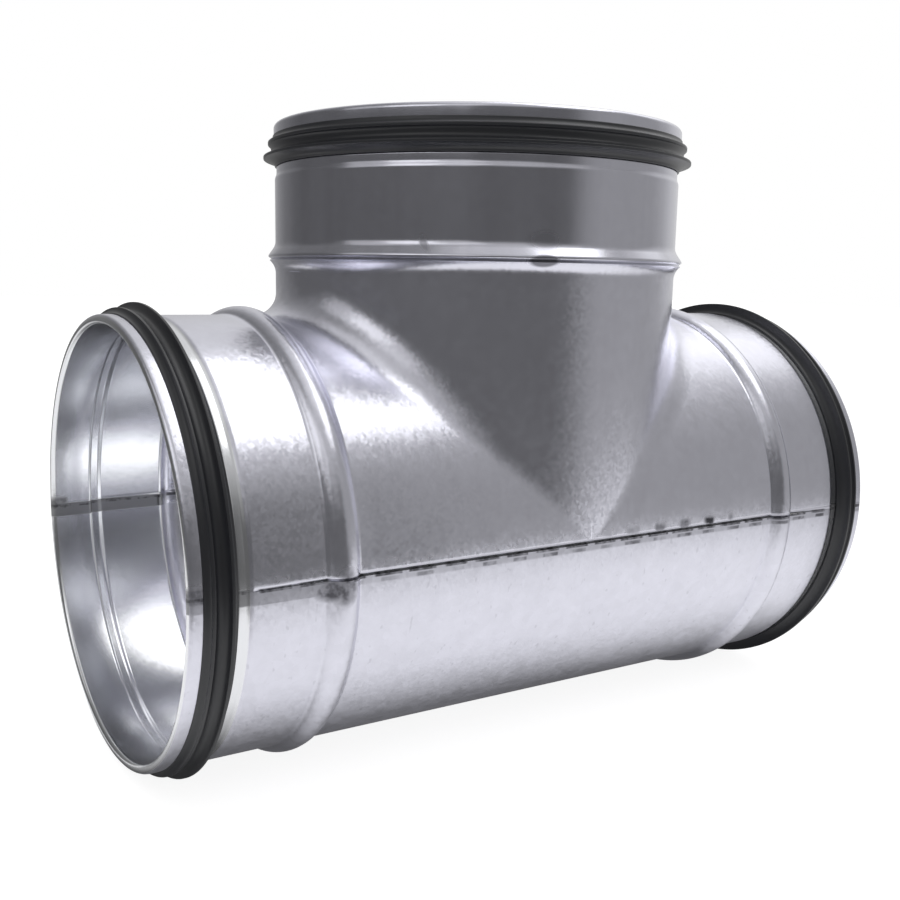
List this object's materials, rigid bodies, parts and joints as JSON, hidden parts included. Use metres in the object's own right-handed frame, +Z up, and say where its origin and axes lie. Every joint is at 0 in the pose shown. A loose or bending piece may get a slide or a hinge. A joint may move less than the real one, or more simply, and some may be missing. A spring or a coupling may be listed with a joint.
{
  "type": "duct tee",
  "caption": "Galvanised duct tee with equal run and branch spigots, a pressed saddle body and a double-lip rubber gasket on each end.",
  "frame": {"origin": "where the run's axis and the branch's axis cross", "axes": "+X along the run towards its right end, +Z up the branch, the weld seam that the picture shows on the -Y side"},
  "size_m": [0.2374, 0.1308, 0.1831],
  "materials": {
    "galvanised_steel": "hot-dip galvanised sheet with a faint spangle",
    "rubber": "satin black EPDM"
  },
  "bodies": {
    "root": {"upper_shell": "galvanised_steel", "lower_shell": "galvanised_steel", "branch_collar": "galvanised_steel", "left_gasket": "rubber", "right_gasket": "rubber", "branch_gasket": "rubber"}
  },
  "joints": []
}
